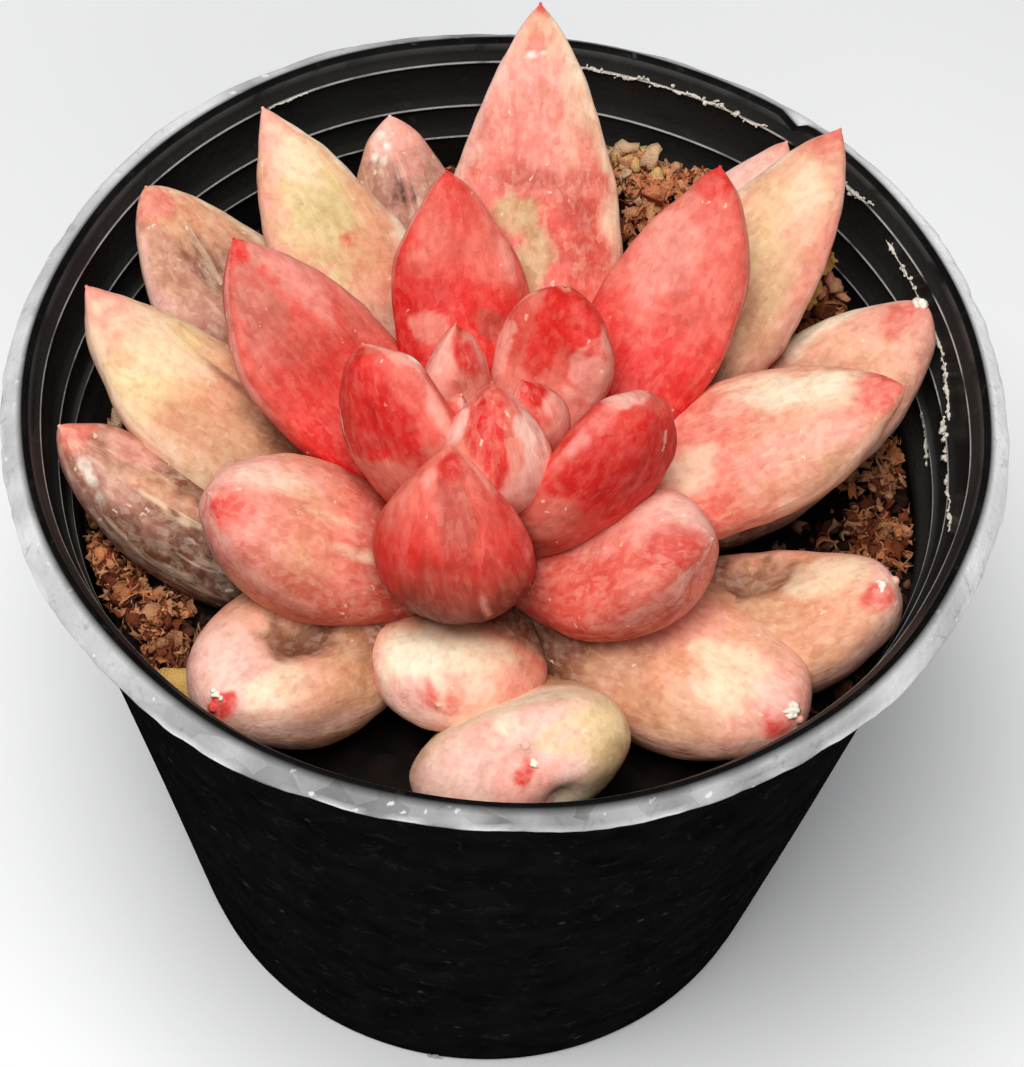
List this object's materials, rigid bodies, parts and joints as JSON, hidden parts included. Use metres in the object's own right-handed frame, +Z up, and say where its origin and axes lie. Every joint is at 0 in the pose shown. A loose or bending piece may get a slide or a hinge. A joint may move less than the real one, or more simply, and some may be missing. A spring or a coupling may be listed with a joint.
{
  "type": "potted goldfish echeveria",
  "caption": "Rosette of thick coral and cream succulent leaves on a short stem, planted in bark soil in a tapered black nursery pot.",
  "frame": {"origin": "centre of the pot's flat base", "axes": "+Z up along the pot's axis, +Y away from the viewer of the picture, +X to the viewer's right"},
  "size_m": [0.09, 0.09, 0.0927],
  "materials": {
    "pot_plastic": "satin",
    "soil": "matte",
    "stem": "matte",
    "leaf_coral": "matte",
    "leaf_rose": "matte",
    "leaf_peach": "matte",
    "leaf_cream": "matte",
    "leaf_mauve": "matte",
    "pebble": "matte",
    "flake": "matte"
  },
  "bodies": {
    "root": {"pot": "pot_plastic", "soil": "soil", "stem": "stem", "heart_leaf_left": "leaf_rose", "heart_leaf_front": "leaf_coral", "heart_leaf_right": "leaf_rose", "heart_leaf_small": "leaf_rose", "inner_leaf_back": "leaf_coral", "inner_leaf_left": "leaf_coral", "inner_leaf_right": "leaf_coral", "inner_leaf_front": "leaf_coral", "middle_leaf_back": "leaf_coral", "middle_leaf_left": "leaf_coral", "middle_leaf_back_right": "leaf_coral", "middle_leaf_front_left": "leaf_rose", "middle_leaf_front_right": "leaf_rose", "outer_leaf_right": "leaf_peach", "outer_leaf_tall": "leaf_peach", "outer_leaf_back_right": "leaf_cream", "outer_leaf_back_left": "leaf_cream", "outer_leaf_left": "leaf_cream", "low_leaf_right": "leaf_peach", "low_leaf_back_left": "leaf_mauve", "low_leaf_back": "leaf_mauve", "low_leaf_left": "leaf_mauve", "low_leaf_front_middle": "leaf_cream", "low_leaf_front_right": "leaf_cream", "low_leaf_front_left": "leaf_peach", "low_leaf_right_front": "leaf_peach", "lowest_leaf_front": "leaf_cream", "lowest_leaf_back_right": "leaf_mauve", "yellow_pebble": "pebble", "pale_flake": "flake", "golden_flake": "flake"}
  },
  "joints": []
}
